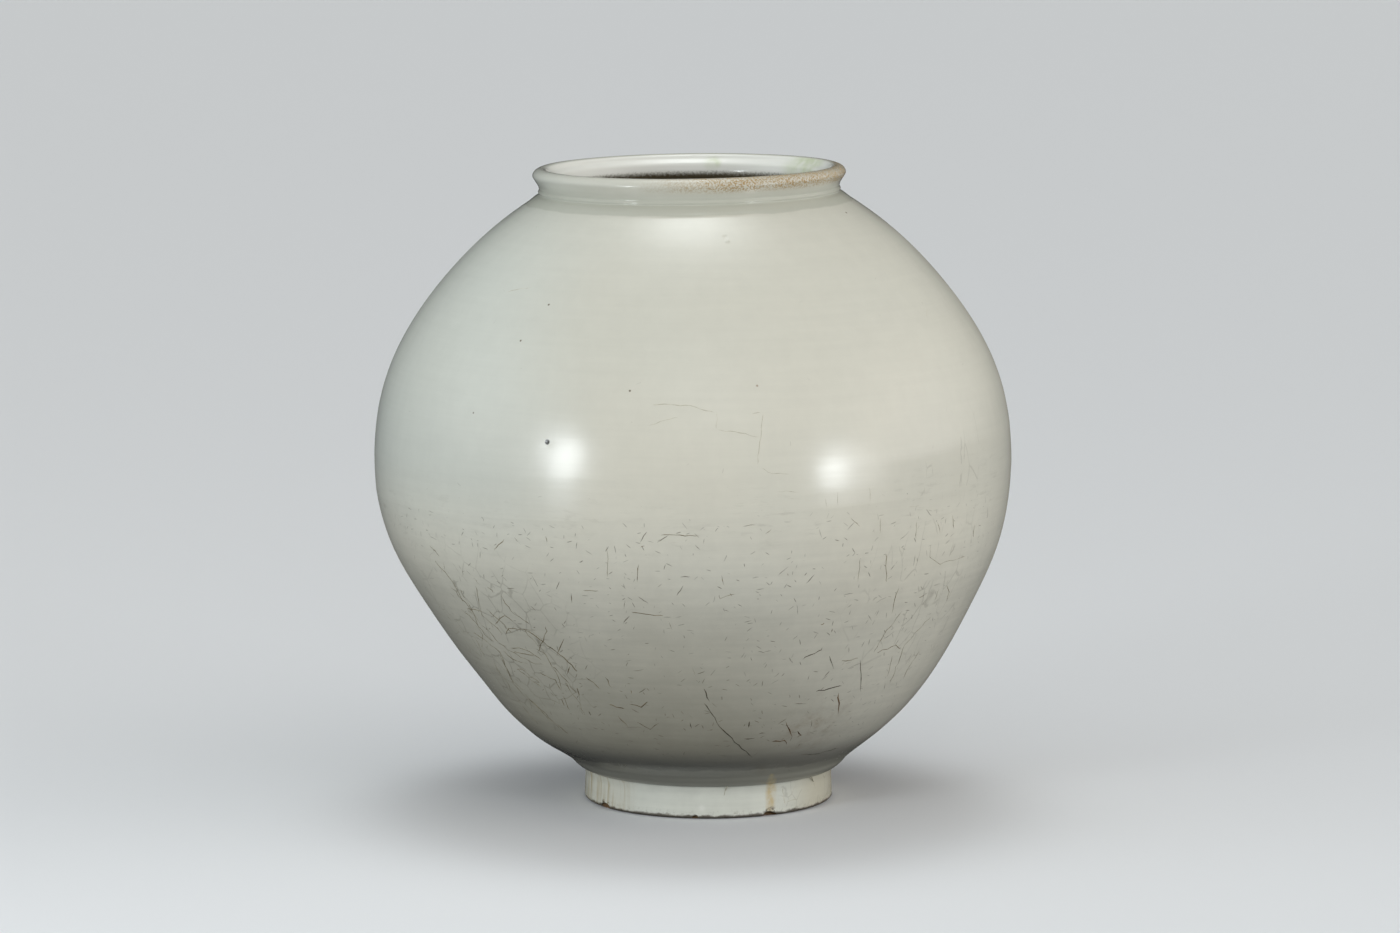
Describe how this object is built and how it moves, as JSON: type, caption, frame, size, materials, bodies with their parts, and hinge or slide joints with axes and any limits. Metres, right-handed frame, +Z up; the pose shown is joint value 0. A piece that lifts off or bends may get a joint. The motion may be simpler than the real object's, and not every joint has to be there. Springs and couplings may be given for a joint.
{
  "type": "moon jar",
  "caption": "Large round white porcelain jar of two thrown bowls luted rim to rim at the belly, on a low foot ring, with a short turned-out mouth.",
  "frame": {"origin": "middle of the flat ring face that the foot stands on", "axes": "+Z up through the mouth; the jar leans towards -X, and -Y is the side seen in the picture"},
  "size_m": [0.4096, 0.4096, 0.4113],
  "materials": {
    "glazed_porcelain": "clear feldspar glaze over white porcelain",
    "foot_porcelain": "glazed outside, bare where it stands",
    "slip_clay": "bare fired slip"
  },
  "bodies": {
    "root": {"foot_ring": "foot_porcelain", "foot_slip": "slip_clay", "lower_bowl": "glazed_porcelain", "seam_slip": "slip_clay", "seam_coil": "glazed_porcelain", "upper_bowl": "glazed_porcelain", "rim_slip": "slip_clay", "mouth_rim": "glazed_porcelain"}
  },
  "joints": []
}
